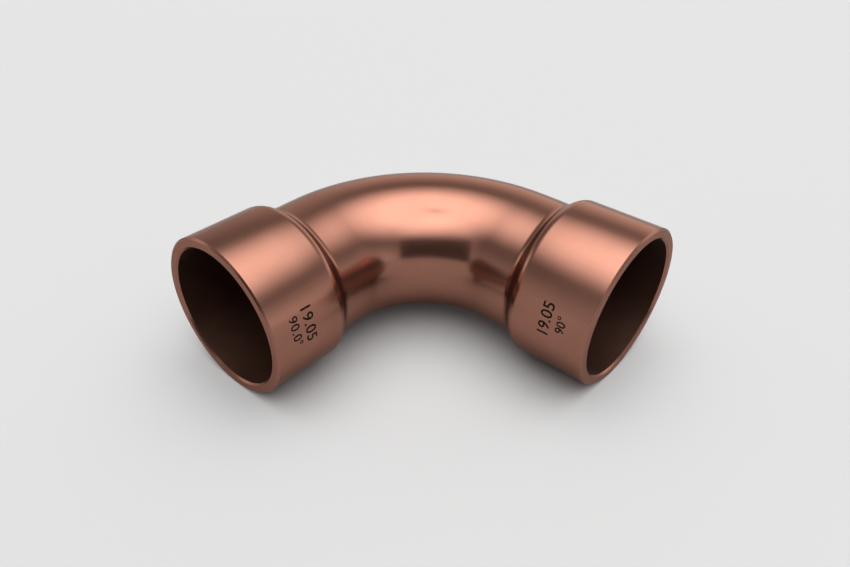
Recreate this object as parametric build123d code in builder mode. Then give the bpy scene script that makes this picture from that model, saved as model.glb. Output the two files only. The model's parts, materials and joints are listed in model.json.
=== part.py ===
from build123d import *
from math import radians, tan
import os

# Pipe bend: a copper alloy tube turned through a right angle, with a plain socket formed at each end.
# It lies flat. +Z is up, the left socket opens along -Y and the right socket opens along +X.
# The origin is on the surface that it lies on, below the middle of its box.
# Lengths are in millimetres and angles in degrees.

# Driving dimensions
tube_diameter = 19.05  # outside of the bent tube, and of the pipe that each socket takes
wall = 1.43            # thickness of the wall, the same in the tube, the shoulders and the sockets
socket_gap = 0.06      # radial clearance between a socket's bore and the pipe in it
socket_depth = 10.23   # full bore, from the mouth to the start of the stop
bend_radius = 19.2     # of the tube's centreline
straight_run = 4.45    # straight tube between the bend and each shoulder
shoulder_angle = 45.0  # slope of the shoulder, from the port's axis
bevel_across = 0.26    # bevel on the mouth's outer edge, across the rim
bevel_along = 0.22     # and along the socket
mouth_chamfer = 0.25   # lead-in at the mouth's inner edge

# The wall is bent twice in each shoulder, and its bends grow with its thickness
hollow_radius = 1.05 * wall  # outside of the bend where the shoulder leaves the tube
crest_radius = 1.25 * wall   # outside of the bend where the shoulder meets the socket

# Radii of the outside
tube_radius = tube_diameter / 2
socket_radius = tube_radius + socket_gap + wall

# Each bend of the wall takes up this much of the port's axis, on both sides of its corner
half_slope = radians(shoulder_angle / 2)
hollow_reach = hollow_radius * tan(half_slope)
crest_reach = crest_radius * tan(half_slope)

# Stations along a port's axis, from the end of the bend to the mouth
hollow_corner = straight_run + hollow_reach
crest_corner = hollow_corner + (socket_radius - tube_radius) / tan(radians(shoulder_angle))
mouth_station = crest_corner + crest_reach + socket_depth

# The two port axes cross here. The box runs from the side of one socket to the mouth of the other.
mouth_reach = bend_radius + mouth_station
box_middle = (mouth_reach - socket_radius) / 2
crossing = Vector(-box_middle, box_middle, socket_radius)

port_directions = [Vector(0, -1, 0), Vector(1, 0, 0)]
bend_ends = [crossing + direction * bend_radius for direction in port_directions]


def leg_outline(bend_end, direction):
    """Half section of a straight run, shoulder and socket, on an upright plane through the port's axis."""
    up = Vector(0, 0, 1)
    with BuildSketch(Plane(origin=bend_end, x_dir=up, z_dir=up.cross(direction))) as outline:
        with BuildLine():
            outside = FilletPolyline(
                (tube_radius, 0),
                (tube_radius, hollow_corner),
                (socket_radius, crest_corner),
                (socket_radius, mouth_station),
                radius=[hollow_radius, crest_radius],
            )
            Polyline(outside @ 1, (0, mouth_station), (0, 0), outside @ 0)
        make_face()
    return outline.sketch


with BuildPart() as pipe_bend:
    # Outside of the bend
    with BuildLine() as centreline:
        TangentArc(bend_ends[0], bend_ends[1], tangent=-port_directions[0])
    with BuildSketch(Plane(origin=bend_ends[0], z_dir=port_directions[0])):
        Circle(tube_radius)
    sweep(path=centreline.line)

    # Outside of the straight runs, the shoulders and the sockets
    for bend_end, direction in zip(bend_ends, port_directions):
        revolve(leg_outline(bend_end, direction), axis=Axis(bend_end, direction))

    # The whole form is hollow from mouth to mouth, with one even wall
    mouths = [faces().sort_by(Axis(crossing, direction))[-1] for direction in port_directions]
    offset(amount=-wall, openings=mouths)

    # Edges of the mouths
    for direction in port_directions:
        mouth_face = faces().sort_by(Axis(crossing, direction))[-1]
        inner_edge, outer_edge = mouth_face.edges().sort_by(SortBy.RADIUS)
        chamfer(outer_edge, bevel_across, bevel_along, reference=mouth_face)
        chamfer(inner_edge, mouth_chamfer)

pipe_bend.part.label = "pipe_bend"

os.makedirs("parts", exist_ok=True)
export_step(pipe_bend.part, "parts/pipe_bend.step")
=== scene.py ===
import bpy
import json
from math import atan2, cos, hypot, pi, radians, sin, tan
from mathutils import Matrix, Vector


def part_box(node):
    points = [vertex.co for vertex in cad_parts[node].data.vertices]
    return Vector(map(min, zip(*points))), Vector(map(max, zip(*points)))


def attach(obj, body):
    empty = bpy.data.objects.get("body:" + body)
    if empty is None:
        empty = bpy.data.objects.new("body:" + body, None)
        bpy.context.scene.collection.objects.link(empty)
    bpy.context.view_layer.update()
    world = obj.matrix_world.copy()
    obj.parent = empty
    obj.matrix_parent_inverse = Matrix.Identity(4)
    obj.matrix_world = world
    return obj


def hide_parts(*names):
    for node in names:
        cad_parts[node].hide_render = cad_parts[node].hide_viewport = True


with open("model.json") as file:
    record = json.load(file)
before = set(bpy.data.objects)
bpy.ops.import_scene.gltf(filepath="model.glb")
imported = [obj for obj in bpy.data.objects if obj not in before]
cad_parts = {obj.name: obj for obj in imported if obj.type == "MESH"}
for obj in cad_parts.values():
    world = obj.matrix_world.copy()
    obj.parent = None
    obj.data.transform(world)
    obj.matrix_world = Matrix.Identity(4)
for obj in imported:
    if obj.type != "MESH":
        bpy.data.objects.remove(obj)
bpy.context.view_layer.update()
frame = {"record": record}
print("frame loaded")

mm = 0.001
up = Vector((0, 0, 1))
sharpestSmooth = radians(30)   # edges that turn further than this stay crisp


def deselectAll():
    bpy.ops.object.select_all(action="DESELECT")


def hexToLinear(colour):
    # sRGB hex to the linear values that a shader takes
    channels = [int(colour[i:i + 2], 16) / 255 for i in (1, 3, 5)]
    return [c / 12.92 if c <= 0.04045 else ((c + 0.055) / 1.055) ** 2.4 for c in channels] + [1.0]


def addNode(tree, kind, settings=None, links=None):
    # settings hold attributes and input values by name, links hold (node, output) by input name
    node = tree.nodes.new(kind)
    for name, value in (settings or {}).items():
        if isinstance(name, str) and hasattr(node, name):
            setattr(node, name, value)
        else:
            node.inputs[name].default_value = value
    for name, (source, output) in (links or {}).items():
        tree.links.new(source.outputs[output], node.inputs[name])
    return node


def newMaterial(name):
    material = bpy.data.materials.new(name)
    material.use_nodes = True
    material.node_tree.nodes.clear()
    return material, material.node_tree


# Where the two ports are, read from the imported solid
boxLow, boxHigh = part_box("pipe_bend")
socketRadius = (boxHigh.z - boxLow.z) / 2
crossing = Vector((boxLow.x + socketRadius, boxHigh.y - socketRadius, boxLow.z + socketRadius))
mouthReach = boxHigh.x - crossing.x
mounts = {mount["name"]: mount for mount in frame["record"]["mounts"]}
boreRadius = mounts["right_socket"]["dims"]["r_mm"] * mm
wall = socketRadius - boreRadius

# Pipe bend: one wall of copper alloy from mouth to mouth
pipeBend = {
    "tubeRadius": 9.525,     # mm, and so are the other lengths
    "bendRadius": 19.2,
    "straightRun": 4.45,
    "shoulderAngle": 45,     # degrees
    "hollowRadius": 1.5015,  # outside, where the tube turns up into the shoulder
    "crestRadius": 1.7875,   # outside, where the shoulder turns into the socket
    "bevelAcross": 0.26,     # outside edge of the mouth, across the rim
    "bevelAlong": 0.22,      # and along the socket
    "mouthChamfer": 0.25,    # inside edge
    "around": 216,           # points in each ring
    "bendSteps": 72,
    "cornerSteps": 8,
    "socketRings": (0.34, 0.67, 1),   # share of the socket's length, for even faces
    "mergeDistance": 0.002,
}


def arcAngles(first, last, steps):
    return [first + (last - first) * i / steps for i in range(steps + 1)]


def wallLine(size, depth):
    # (distance from the end of the bend, radius) along one leg, this deep in the wall
    angle = radians(size["shoulderAngle"])
    tube = size["tubeRadius"] * mm
    hollow, crest = size["hollowRadius"] * mm, size["crestRadius"] * mm
    run = size["straightRun"] * mm
    reach = (hollow + crest) * tan(angle / 2)
    crestEnd = run + reach + (socketRadius - tube) / tan(angle)
    line = [(run / 2, tube - depth)]
    for t in arcAngles(0, angle, size["cornerSteps"]):
        line.append((run + (hollow + depth) * sin(t), tube + hollow - (hollow + depth) * cos(t)))
    for t in arcAngles(angle, 0, size["cornerSteps"]):
        line.append((crestEnd - (crest - depth) * sin(t), socketRadius - crest + (crest - depth) * cos(t)))
    return line, crestEnd


def legLines(size):
    # outside up to the rim, and inside up to the chamfer's foot
    mouth = mouthReach - size["bendRadius"] * mm
    bevelStart, chamfer = mouth - size["bevelAlong"] * mm, size["mouthChamfer"] * mm
    outside, crestEnd = wallLine(size, 0)
    rings = size["socketRings"]
    outside += [(crestEnd + (bevelStart - crestEnd) * share, socketRadius) for share in rings]
    outside.append((mouth, socketRadius - size["bevelAcross"] * mm))
    inside, crestEnd = wallLine(size, wall)
    inside += [(crestEnd + (mouth - chamfer - crestEnd) * share, boreRadius) for share in rings]
    return outside, inside, (mouth, boreRadius + chamfer)


def drawRings(direction, line, last):
    # extrudes the selected ring of edges along one leg, from ring to ring
    for station, radius in line:
        bpy.ops.mesh.extrude_edges_move(TRANSFORM_OT_translate={"value": direction * (station - last[0])})
        factor = radius / last[1]
        across = [1 if along else factor for along in map(round, direction)]
        bpy.ops.transform.resize(value=across)
        last = (station, radius)
    return last


def makePipeBend(size):
    outside, inside, rimCorner = legLines(size)
    left, right = Vector((0, -1, 0)), Vector((1, 0, 0))
    bend = size["bendRadius"] * mm
    leftEnd = crossing + left * bend
    bendCentre = leftEnd + right * bend
    tube = size["tubeRadius"] * mm

    deselectAll()
    bpy.ops.mesh.primitive_circle_add(
        vertices=size["around"], radius=rimCorner[1],
        location=leftEnd + left * rimCorner[0], rotation=(radians(90), 0, 0))
    piece = bpy.context.object
    piece.name = "pipe_bend_body"
    bpy.ops.object.mode_set(mode="EDIT")
    bpy.ops.mesh.select_all(action="SELECT")

    last = drawRings(left, outside[::-1] + [(0, tube)], rimCorner)
    bpy.ops.mesh.spin(steps=size["bendSteps"], angle=radians(90), center=bendCentre, axis=(0, 0, 1))
    last = drawRings(right, outside + [rimCorner], (0, tube))
    last = drawRings(right, inside[::-1] + [(0, tube - wall)], last)
    bpy.ops.mesh.spin(steps=size["bendSteps"], angle=radians(-90), center=bendCentre, axis=(0, 0, 1))
    drawRings(left, inside + [rimCorner], (0, tube - wall))
    bpy.ops.mesh.select_all(action="SELECT")
    bpy.ops.mesh.remove_doubles(threshold=size["mergeDistance"] * mm)
    bpy.ops.mesh.normals_make_consistent(inside=False)
    bpy.ops.object.mode_set(mode="OBJECT")
    bpy.ops.object.transform_apply(location=True, rotation=True, scale=True)
    bpy.ops.object.shade_smooth_by_angle(angle=sharpestSmooth)
    return piece


body = makePipeBend(pipeBend)
print("pipe bend made:", len(body.data.vertices), "vertices,", len(body.data.polygons), "faces")

# Camera: the photo's view, solved from the object's outline
photoView = {
    "azimuth": 42.93,      # degrees
    "elevation": 40.31,    # degrees
    "distance": 95.958,    # mm, from the point looked at
    "slideRight": 3.355,   # mm
    "slideUp": 10.979,     # mm
    "focal": 28.75,        # mm
    "sensorWidth": 36,     # mm
    "shiftX": 0.0326,
    "shiftY": 0.0638,
    "clip": (0.005, 20),   # m, nearest and furthest that shows
}


def makeCamera(view, lookAt):
    data = bpy.data.cameras.new("photoCamera")
    camera = bpy.data.objects.new("photoCamera", data)
    bpy.context.scene.collection.objects.link(camera)
    azimuth, elevation = radians(view["azimuth"]), radians(view["elevation"])
    back = Vector((sin(azimuth) * cos(elevation), -cos(azimuth) * cos(elevation), sin(elevation)))
    right = Vector((cos(azimuth), sin(azimuth), 0))
    upward = back.cross(right)
    slide = right * view["slideRight"] + upward * view["slideUp"]
    camera.location = lookAt + (back * view["distance"] - slide) * mm
    camera.rotation_mode = "QUATERNION"
    camera.rotation_quaternion = back.to_track_quat("Z", "Y")
    data.lens = view["focal"]
    data.sensor_width = view["sensorWidth"]
    data.shift_x, data.shift_y = view["shiftX"], view["shiftY"]
    data.clip_start, data.clip_end = view["clip"]
    bpy.context.scene.camera = camera


halfBend = pipeBend["bendRadius"] / 2 * mm
makeCamera(photoView, crossing + Vector((halfBend, -halfBend, 0)))

# Studio: a pale floor in a dim room, under one wide overhead softbox
bpy.context.scene.view_settings.view_transform = "Standard"
studio = {
    "floorColour": "#AEAEAE",
    "floorRoughness": 0.9,
    "floorSheen": 0.1,
    "floorSize": 6.0,             # m
    # light levels, where 1 is a white surface in plain light
    "roomLevel": 0.25,
    "softboxLevel": 3.83,
    "stemLevel": -1.75,           # dim spot where the softbox hangs from its stem
    "backdropLevels": (0.46, 0.44),  # all round, and added on the right
    "farWallLevel": 0.64,
    "cameraSideLevel": 0.065,
    "frontLevel": 0.47,
    "windowLevel": 0.9,
    # degrees: places from the camera to the right, and from straight up
    "softboxPlace": (22.0, 8.3),
    "softboxEdge": (19.0, 57.2),  # from its middle, full and faded
    "stemPlace": (-14.0, 10.2),
    "stemEdge": (2.0, 7.0),
    "frontPlace": (-13.5, 65.0),
    "frontEdge": (32.0, 51.0),
    "windowPlace": (-109.0, 73.0),
    "windowEdge": (6.0, 18.0),
    "backdropTop": (0.5, 34.0),   # above the floor, full and faded
    "farWallTop": (17.0, 47.5),
    "cameraSideTop": (27.5, 41.5),
    "cameraSideLean": 1.5,        # lower on the right
    # from the camera to the right, where each starts and ends, and how softly
    "rightSide": (20.0, 200.0, 0.7),
    "farWall": (82.0, 207.0, 0.45),
    "cameraSide": (-57.0, 38.0, 0.06),
}


def makeFloor(room):
    deselectAll()
    bpy.ops.mesh.primitive_plane_add(size=room["floorSize"], location=(0, 0, 0))
    floor = bpy.context.object
    floor.name = "studio_floor"
    material, tree = newMaterial("paleFloor")
    shader = addNode(tree, "ShaderNodeBsdfPrincipled", {
        "Base Color": hexToLinear(room["floorColour"]), "Roughness": room["floorRoughness"],
        "Specular IOR Level": room["floorSheen"]})
    addNode(tree, "ShaderNodeOutputMaterial", None, {"Surface": (shader, "BSDF")})
    floor.data.materials.append(material)


def around(azimuth):
    # level direction from the object, azimuth 0 towards -Y and turning to +X
    return Vector((sin(azimuth), -cos(azimuth), 0))


def lightRoom(room):
    world = bpy.data.worlds.new("studioRoom")
    bpy.context.scene.world = world
    world.use_nodes = True
    tree = world.node_tree
    tree.nodes.clear()
    place = addNode(tree, "ShaderNodeTexCoord")
    camera = photoView["azimuth"]

    def towards(bearing, tilt):
        # direction counted from the camera to the right, and from straight up
        return up * cos(radians(tilt)) + around(radians(camera + bearing)) * sin(radians(tilt))

    def glow(direction, full, faded, level):
        # level within so many degrees of a direction, fading to none
        cosine = addNode(tree, "ShaderNodeVectorMath", {"operation": "DOT_PRODUCT", 1: direction},
                         {0: (place, "Generated")})
        angle = addNode(tree, "ShaderNodeMath", {"operation": "ARCCOSINE"}, {0: (cosine, "Value")})
        return addNode(tree, "ShaderNodeMapRange", {
            "interpolation_type": "SMOOTHSTEP",
            "From Min": radians(faded), "From Max": radians(full), "To Max": level},
            {"Value": (angle, "Value")})

    def between(first, last, softness):
        # 1 between two bearings, counted from the camera to the right, and 0 outside them
        sides = []
        for square in (first + 90, last - 90):
            side = addNode(tree, "ShaderNodeVectorMath", {
                "operation": "DOT_PRODUCT", 1: around(radians(camera + square))}, {0: (place, "Generated")})
            sides.append(addNode(tree, "ShaderNodeMapRange", {
                "interpolation_type": "SMOOTHSTEP", "From Max": softness}, {"Value": (side, "Value")}))
        return addNode(tree, "ShaderNodeMath", {"operation": "MULTIPLY"},
                       {0: (sides[0], "Result"), 1: (sides[1], "Result")})

    softbox = glow(towards(*room["softboxPlace"]), *room["softboxEdge"], room["softboxLevel"])
    stem = glow(towards(*room["stemPlace"]), *room["stemEdge"], room["stemLevel"])
    front = glow(towards(*room["frontPlace"]), *room["frontEdge"], room["frontLevel"])
    window = glow(towards(*room["windowPlace"]), *room["windowEdge"], room["windowLevel"])
    backdrop = glow(-up, *(90 + height for height in room["backdropTop"]), 1.0)
    farWall = glow(-up, *(90 + height for height in room["farWallTop"]), room["farWallLevel"])
    lean = room["cameraSideLean"]
    cameraSide = glow(towards(-90, 180 - lean), *(90 + height for height in room["cameraSideTop"]), 1.0)
    allRound, onTheRight = room["backdropLevels"]
    rightSide = between(*room["rightSide"])
    backdropLevel = addNode(tree, "ShaderNodeMath", {
        "operation": "MULTIPLY_ADD", 1: onTheRight, 2: allRound}, {0: (rightSide, "Value")})
    level = addNode(tree, "ShaderNodeMath", {"operation": "MULTIPLY_ADD", 2: room["roomLevel"]},
                    {0: (backdropLevel, "Value"), 1: (backdrop, "Result")})
    level = addNode(tree, "ShaderNodeMath", {"operation": "MULTIPLY_ADD"}, {
        0: (between(*room["farWall"]), "Value"), 1: (farWall, "Result"), 2: (level, "Value")})
    for light in (softbox, stem, front, window):
        level = addNode(tree, "ShaderNodeMath", {"operation": "ADD"}, {
            0: (light, "Result"), 1: (level, "Value")})
    # the dark side that the camera stands on covers what is behind it
    covered = addNode(tree, "ShaderNodeMath", {"operation": "MULTIPLY"}, {
        0: (between(*room["cameraSide"]), "Value"), 1: (cameraSide, "Result")})
    level = addNode(tree, "ShaderNodeMapRange", {"To Max": room["cameraSideLevel"]}, {
        "Value": (covered, "Value"), "To Min": (level, "Value")})
    background = addNode(tree, "ShaderNodeBackground", {"Color": (1, 1, 1, 1)},
                         {"Strength": (level, "Result")})
    addNode(tree, "ShaderNodeOutputWorld", None, {"Surface": (background, "Background")})


makeFloor(studio)
lightRoom(studio)
print("studio lit")


def straightPlace(point):
    # place on the pipe as if laid straight: outward from the bend's centre, up, and along the centreline
    bend = pipeBend["bendRadius"] * mm
    place = point - crossing - Vector((bend, -bend, 0))
    if place.y < 0:
        return Vector((-place.x - bend, place.z, place.y))
    if place.x > 0:
        return Vector((place.y - bend, place.z, bend * pi / 2 + place.x))
    return Vector((hypot(place.x, place.y) - bend, place.z, bend * atan2(place.y, -place.x)))


def layStraight(piece):
    # patterns follow the pipe round the bend by this attribute
    straight = piece.data.attributes.new("straightPipe", "FLOAT_VECTOR", "POINT")
    for vertex, item in zip(piece.data.vertices, straight.data):
        item.vector = straightPlace(vertex.co)


def surfaceOf(face):
    # 0 for the outside, 1 for the cut mouth and its edges, 2 for the inside
    near, far = straightPlace(face.center), straightPlace(face.center + face.normal * wall)
    middle = pipeBend["bendRadius"] * mm * pi / 4
    if abs(far.z - middle) > middle + mouthReach - pipeBend["bendRadius"] * mm:
        return 1
    return 2 if hypot(far.x, far.y) < hypot(near.x, near.y) else 0


def finishSurfaces(piece, materials):
    deselectAll()
    piece.select_set(True)
    bpy.context.view_layer.objects.active = piece
    surfaces = [surfaceOf(face) for face in piece.data.polygons]
    for index, material in enumerate(materials):
        piece.data.materials.append(material)
        bpy.ops.object.mode_set(mode="EDIT")
        bpy.ops.mesh.select_mode(type="FACE")
        bpy.ops.mesh.select_all(action="DESELECT")
        bpy.ops.object.mode_set(mode="OBJECT")
        for face, surface in zip(piece.data.polygons, surfaces):
            face.select = surface == index
        piece.active_material_index = index
        bpy.ops.object.mode_set(mode="EDIT")
        bpy.ops.object.material_slot_assign()
        bpy.ops.object.mode_set(mode="OBJECT")


drawnFinish = {
    "tones": ("#906354", "#966A5A"),
    "metallic": 0.945,              # the rest is light scattered in the thin oxide film
    "tint": (0.6, 0.545, 0.52, 1),  # of the sheen at a low angle
    "cloudSize": 4.0,               # mm, and so are the other lengths
    "lineWidth": 0.25,              # drawn coarse: real draw lines, about 0.05, are too fine to show
    "lineLength": 12.0,
    "lineShare": (0.3, 0.7),        # of the pattern's range, over which the roughness changes
    "roughness": (0.17, 0.21),
    "lineDepth": 0.02,
    "lineStrength": 0.08,
}


def makeDrawnCopper(finish):
    # Outside: copper alloy tube, drawn through a die, bent and pressed to shape, then bright annealed.
    # The eye gets satin metal, with faint lines along the pipe and slight clouds of tone.
    material, tree = newMaterial("drawnCopperAlloy")
    place = addNode(tree, "ShaderNodeAttribute", {"attribute_name": "straightPipe"})
    fine, long = 1 / (finish["lineWidth"] * mm), 1 / (finish["lineLength"] * mm)
    stretched = addNode(tree, "ShaderNodeMapping", {"Scale": (fine, fine, long)},
                        {"Vector": (place, "Vector")})
    lines = addNode(tree, "ShaderNodeTexNoise", {"Scale": 1.0, "Detail": 2.0},
                    {"Vector": (stretched, "Vector")})
    clouds = addNode(tree, "ShaderNodeTexNoise", {"Scale": 1 / (finish["cloudSize"] * mm), "Detail": 1.0},
                     {"Vector": (place, "Vector")})
    dark, light = [hexToLinear(tone) for tone in finish["tones"]]
    colour = addNode(tree, "ShaderNodeMix", {"data_type": "RGBA", 6: dark, 7: light}, {0: (clouds, "Fac")})
    smooth, dull = finish["roughness"]
    low, high = finish["lineShare"]
    roughness = addNode(tree, "ShaderNodeMapRange", {
        "From Min": low, "From Max": high, "To Min": smooth, "To Max": dull}, {"Value": (lines, "Fac")})
    bump = addNode(tree, "ShaderNodeBump", {
        "Strength": finish["lineStrength"], "Distance": finish["lineDepth"] * mm}, {"Height": (lines, "Fac")})
    shader = addNode(tree, "ShaderNodeBsdfPrincipled", {
        "Metallic": finish["metallic"], "Specular Tint": finish["tint"]}, {
        "Base Color": (colour, 2), "Roughness": (roughness, "Result"), "Normal": (bump, "Normal")})
    addNode(tree, "ShaderNodeOutputMaterial", None, {"Surface": (shader, "BSDF")})
    return material


cutFinish = {
    "tones": ("#8C6052", "#956658"),
    "metallic": 0.945,
    "tint": (0.6, 0.545, 0.52, 1),
    "ringPitch": 0.16,              # mm, drawn coarse: real tool rings, about 0.08, are too fine to show
    "roughness": (0.2, 0.26),
    "ringDepth": 0.01,
    "ringStrength": 0.1,
}


def makeCutCopper(finish):
    # Mouths: the same alloy, cut square in a lathe and bevelled.
    # The eye gets a duller ring than the drawn side, with fine tool rings about the port.
    material, tree = newMaterial("turnedCopperAlloy")
    place = addNode(tree, "ShaderNodeAttribute", {"attribute_name": "straightPipe"})
    # at scale 1 the rings are pi / 10 apart
    rings = addNode(tree, "ShaderNodeTexWave", {
        "wave_type": "RINGS", "rings_direction": "Z", "Scale": pi / 10 / (finish["ringPitch"] * mm),
        "Distortion": 0.4, "Detail": 1.0}, {"Vector": (place, "Vector")})
    dark, light = [hexToLinear(tone) for tone in finish["tones"]]
    colour = addNode(tree, "ShaderNodeMix", {"data_type": "RGBA", 6: dark, 7: light}, {0: (rings, "Fac")})
    smooth, dull = finish["roughness"]
    roughness = addNode(tree, "ShaderNodeMapRange", {"To Min": smooth, "To Max": dull},
                        {"Value": (rings, "Fac")})
    bump = addNode(tree, "ShaderNodeBump", {
        "Strength": finish["ringStrength"], "Distance": finish["ringDepth"] * mm}, {"Height": (rings, "Fac")})
    shader = addNode(tree, "ShaderNodeBsdfPrincipled", {
        "Metallic": finish["metallic"], "Specular Tint": finish["tint"]}, {
        "Base Color": (colour, 2), "Roughness": (roughness, "Result"), "Normal": (bump, "Normal")})
    addNode(tree, "ShaderNodeOutputMaterial", None, {"Surface": (shader, "BSDF")})
    return material


# Painted shade: the bore's near black tones stand in for the shade that falls deep inside the pipe
boreShadeFinish = {
    "tones": ("#2D170D", "#3F2213"),
    "patchSize": 2.5,               # mm
    "metallic": 0.6,
    "roughness": (0.5, 0.62),
    "grainSize": 0.3,               # drawn coarse: the bore's real grain, under 0.05, is too fine to show
    "grainDepth": 0.01,
    "grainStrength": 0.15,
}


def makePaintedShadeBore(finish):
    # Inside: painted shade. The bore is coloured a nearly black brown that stands in for the shade deep in
    # it.
    # The eye gets that near black brown, hardly shining, a little uneven from place to place.
    material, tree = newMaterial("paintedShadeBore")
    place = addNode(tree, "ShaderNodeAttribute", {"attribute_name": "straightPipe"})
    patches = addNode(tree, "ShaderNodeTexNoise", {"Scale": 1 / (finish["patchSize"] * mm), "Detail": 3.0},
                      {"Vector": (place, "Vector")})
    grain = addNode(tree, "ShaderNodeTexNoise", {"Scale": 1 / (finish["grainSize"] * mm), "Detail": 2.0},
                    {"Vector": (place, "Vector")})
    dark, light = [hexToLinear(tone) for tone in finish["tones"]]
    colour = addNode(tree, "ShaderNodeMix", {"data_type": "RGBA", 6: dark, 7: light}, {0: (patches, "Fac")})
    smooth, dull = finish["roughness"]
    roughness = addNode(tree, "ShaderNodeMapRange", {"To Min": smooth, "To Max": dull},
                        {"Value": (patches, "Fac")})
    bump = addNode(tree, "ShaderNodeBump", {
        "Strength": finish["grainStrength"], "Distance": finish["grainDepth"] * mm},
        {"Height": (grain, "Fac")})
    shader = addNode(tree, "ShaderNodeBsdfPrincipled", {"Metallic": finish["metallic"]}, {
        "Base Color": (colour, 2), "Roughness": (roughness, "Result"), "Normal": (bump, "Normal")})
    addNode(tree, "ShaderNodeOutputMaterial", None, {"Surface": (shader, "BSDF")})
    return material


layStraight(body)
finishSurfaces(body, [makeDrawnCopper(drawnFinish), makeCutCopper(cutFinish), makePaintedShadeBore(boreShadeFinish)])
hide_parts("pipe_bend")
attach(body, "root")
print("surfaces finished")

# Marks: plain numbers printed on the side of each socket that faces the inside of the bend
marks = {
    "film": 0.02,        # mm of ink, and so are the other lengths
    "proud": 0.012,
    "boldness": 0.008,   # of the stroke, on characters about 1 high; past 0.009 the 9 crosses itself
    "standOff": 1.0,     # of the flat characters, before they are laid on the socket
    "mergeDistance": 0.001,
    "cuts": 2,           # of each face's edges, so that the characters follow the socket's curve
    # degrees above level, and for each line its text, its height, its reach from where the two
    # port axes cross, and the spread of its characters
    "left": {"aboveLevel": 10.5, "lines": (("19.05", 1.6, 31.3, 1.05), ("90.0°", 1.35, 33.4, 1.1))},
    "right": {"aboveLevel": 9.5, "lines": (("19.05", 1.6, 30.9, 1.0), ("90°", 1.3, 33.05, 1.0))},
}
inkFinish = {"tones": ("#0A0605", "#150D0A"), "patchSize": 0.4, "roughness": 0.6, "specular": 0.05}


def makeInk(finish):
    # Marking ink: a thin near black film, pad printed and baked on. It is dull beside the metal.
    material, tree = newMaterial("markingInk")
    place = addNode(tree, "ShaderNodeTexCoord")
    cover = addNode(tree, "ShaderNodeTexNoise", {"Scale": 1 / (finish["patchSize"] * mm), "Detail": 2.0},
                    {"Vector": (place, "Object")})
    dark, light = [hexToLinear(tone) for tone in finish["tones"]]
    colour = addNode(tree, "ShaderNodeMix", {"data_type": "RGBA", 6: dark, 7: light}, {0: (cover, "Fac")})
    shader = addNode(tree, "ShaderNodeBsdfPrincipled", {
        "Roughness": finish["roughness"], "Specular IOR Level": finish["specular"]},
        {"Base Color": (colour, 2)})
    addNode(tree, "ShaderNodeOutputMaterial", None, {"Surface": (shader, "BSDF")})
    return material


def makeLine(text, height, spread):
    # one line of characters as a flat mesh of small faces, middle at the origin
    deselectAll()
    bpy.ops.object.text_add()
    bpy.context.object.data.body = text
    bpy.context.object.data.space_character = spread
    bpy.context.object.data.offset = marks["boldness"]
    bpy.ops.object.convert(target="MESH")
    bpy.ops.object.origin_set(type="ORIGIN_GEOMETRY", center="BOUNDS")
    line = bpy.context.object
    line.scale = [height * mm / line.dimensions.y] * 3
    bpy.ops.object.transform_apply(location=False, rotation=False, scale=True)
    bpy.ops.object.mode_set(mode="EDIT")
    bpy.ops.mesh.select_all(action="SELECT")
    bpy.ops.mesh.remove_doubles(threshold=marks["mergeDistance"] * mm)
    bpy.ops.mesh.quads_convert_to_tris()
    bpy.ops.mesh.subdivide(number_cuts=marks["cuts"])
    bpy.ops.object.mode_set(mode="OBJECT")
    return line


def makeMark(name, port, inward, mark, ink):
    # port is the way that the socket opens, inward the way to the inside of the bend
    angle = radians(mark["aboveLevel"])
    outward = inward * cos(angle) + up * sin(angle)
    turn = Matrix((-port.cross(outward), -port, outward)).transposed().to_euler()
    lines = []
    for text, height, reach, spread in mark["lines"]:
        line = makeLine(text, height, spread)
        line.location = crossing + port * reach * mm + outward * (socketRadius + marks["standOff"] * mm)
        line.rotation_euler = turn
        wrap = line.modifiers.new("wrap", "SHRINKWRAP")
        wrap.wrap_method = "PROJECT"
        wrap.target = body
        wrap.use_project_z = True
        wrap.use_positive_direction = False
        wrap.use_negative_direction = True
        wrap.offset = marks["proud"] * mm
        bpy.ops.object.modifier_apply(modifier="wrap")
        film = line.modifiers.new("film", "SOLIDIFY")
        film.thickness = marks["film"] * mm
        film.offset = -1
        bpy.ops.object.modifier_apply(modifier="film")
        bpy.ops.object.transform_apply(location=True, rotation=True, scale=True)
        lines.append(line)
    deselectAll()
    for line in lines:
        line.select_set(True)
    bpy.context.view_layer.objects.active = lines[0]
    bpy.ops.object.join()
    piece = bpy.context.object
    piece.name = name
    bpy.ops.object.shade_smooth_by_angle(angle=sharpestSmooth)
    piece.data.materials.append(ink)
    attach(piece, "root")
    return piece


ink = makeInk(inkFinish)
leftMark = makeMark("left_socket_mark", Vector((0, -1, 0)), Vector((1, 0, 0)), marks["left"], ink)
rightMark = makeMark("right_socket_mark", Vector((1, 0, 0)), Vector((0, -1, 0)), marks["right"], ink)
print("marks made:", len(leftMark.data.polygons) + len(rightMark.data.polygons), "faces")
